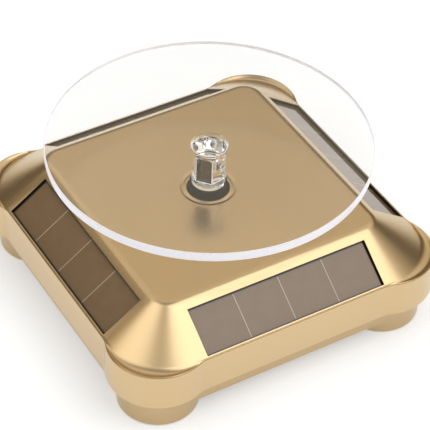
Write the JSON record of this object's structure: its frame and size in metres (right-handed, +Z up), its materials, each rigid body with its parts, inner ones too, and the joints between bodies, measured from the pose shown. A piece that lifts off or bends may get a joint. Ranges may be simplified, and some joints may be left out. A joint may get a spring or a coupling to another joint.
{
  "type": "turntable display stand",
  "caption": "Solar display turntable: square champagne base with panels in its sloping sides, and a clear disc turning on a clear column.",
  "frame": {"origin": "centre of the base on the surface it stands on, under the disc's axis", "axes": "+Z up along the turning axis, -Y towards the front panel, +X to the right"},
  "size_m": [0.111, 0.111, 0.0541],
  "materials": {
    "shell_paint": "champagne gold satin paint on moulded plastic",
    "solar_cell": "smooth clear-coated silicon cells with pale grid lines",
    "foot_rubber": "matte soft rubber",
    "disc_acrylic": "clear polished acrylic",
    "column_acrylic": "clear polished acrylic with cut facets",
    "hub_plastic": "black satin moulding",
    "steel": "plain bright steel",
    "brass": "turned brass",
    "gear_acetal": "white acetal",
    "black_plastic": "black moulded plastic",
    "magnet_ferrite": "grey sintered ferrite",
    "armature_copper": "varnished copper winding",
    "circuit_board": "green solder mask",
    "capacitor_sleeve": "dark blue shrink sleeve"
  },
  "bodies": {
    "base": {"upper_shell": "shell_paint", "bottom_cover": "shell_paint", "solar_panel_front": "solar_cell", "solar_panel_right": "solar_cell", "solar_panel_back": "solar_cell", "solar_panel_left": "solar_cell", "foot_pad_front_left": "foot_rubber", "foot_pad_front_right": "foot_rubber", "foot_pad_back_left": "foot_rubber", "foot_pad_back_right": "foot_rubber", "thrust_washer": "gear_acetal", "gear_pin_1": "steel", "gear_pin_2": "steel", "motor_magnet": "magnet_ferrite", "motor_can": "steel", "motor_end_cap": "black_plastic", "motor_terminals": "brass", "motor_screws": "steel", "gear_plate_lower": "black_plastic", "gear_plate_upper": "black_plastic", "bush_lower": "brass", "bush_upper": "brass", "plate_spacers": "brass", "gearbox_screws": "steel", "circuit_board": "circuit_board", "storage_capacitor": "capacitor_sleeve", "control_chip": "black_plastic", "board_screws": "steel", "switch_body": "steel", "battery_box": "black_plastic", "battery_box_screws": "steel", "battery_spring": "steel", "battery_contact_minus": "steel", "battery_contact_plus": "steel", "housing_screws": "steel"},
    "spindle": {"drive_hub": "hub_plastic", "output_shaft": "steel", "output_gear": "gear_acetal"},
    "turntable": {"crystal_column": "column_acrylic", "turntable_disc": "disc_acrylic"},
    "gear_2": {"compound_gear_2": "gear_acetal"},
    "gear_1": {"compound_gear_1": "gear_acetal"},
    "motor_rotor": {"motor_pinion": "brass", "motor_shaft": "steel", "motor_armature": "armature_copper"},
    "switch_knob": {"switch_slider": "black_plastic"},
    "door": {"battery_door": "shell_paint"}
  },
  "joints": [
    {"name": "turntable_spin", "type": "hinge", "parent": "base", "child": "spindle", "pos_m": [0, 0, 0.034], "axis": [0, 0, 1], "continuous": true},
    {"name": "turntable_lift", "type": "slide", "parent": "spindle", "child": "turntable", "axis": [0, 0, 1], "range_m": [0, 0.012]},
    {"name": "gear_2_spin", "type": "hinge", "parent": "base", "child": "gear_2", "pos_m": [-0.00516, -0.01419, 0.025], "axis": [0, 0, 1], "continuous": true},
    {"name": "gear_1_spin", "type": "hinge", "parent": "base", "child": "gear_1", "pos_m": [-0.017, -0.0185, 0.024], "axis": [0, 0, 1], "continuous": true},
    {"name": "motor_spin", "type": "hinge", "parent": "base", "child": "motor_rotor", "pos_m": [-0.0233, -0.00759, 0.02], "axis": [0, 0, 1], "continuous": true},
    {"name": "switch_slide", "type": "slide", "parent": "base", "child": "switch_knob", "axis": [1, 0, 0], "range_m": [0, 0.003]},
    {"name": "battery_door_hinge", "type": "hinge", "parent": "base", "child": "door", "pos_m": [0, 0.0332, 0.0062], "axis": [1, 0, 0], "range_deg": [0, 95]}
  ],
  "couplings": [
    {"joint": "gear_2_spin", "follows": "turntable_spin", "ratio": -5},
    {"joint": "gear_1_spin", "follows": "turntable_spin", "ratio": 20},
    {"joint": "motor_spin", "follows": "turntable_spin", "ratio": -80}
  ]
}
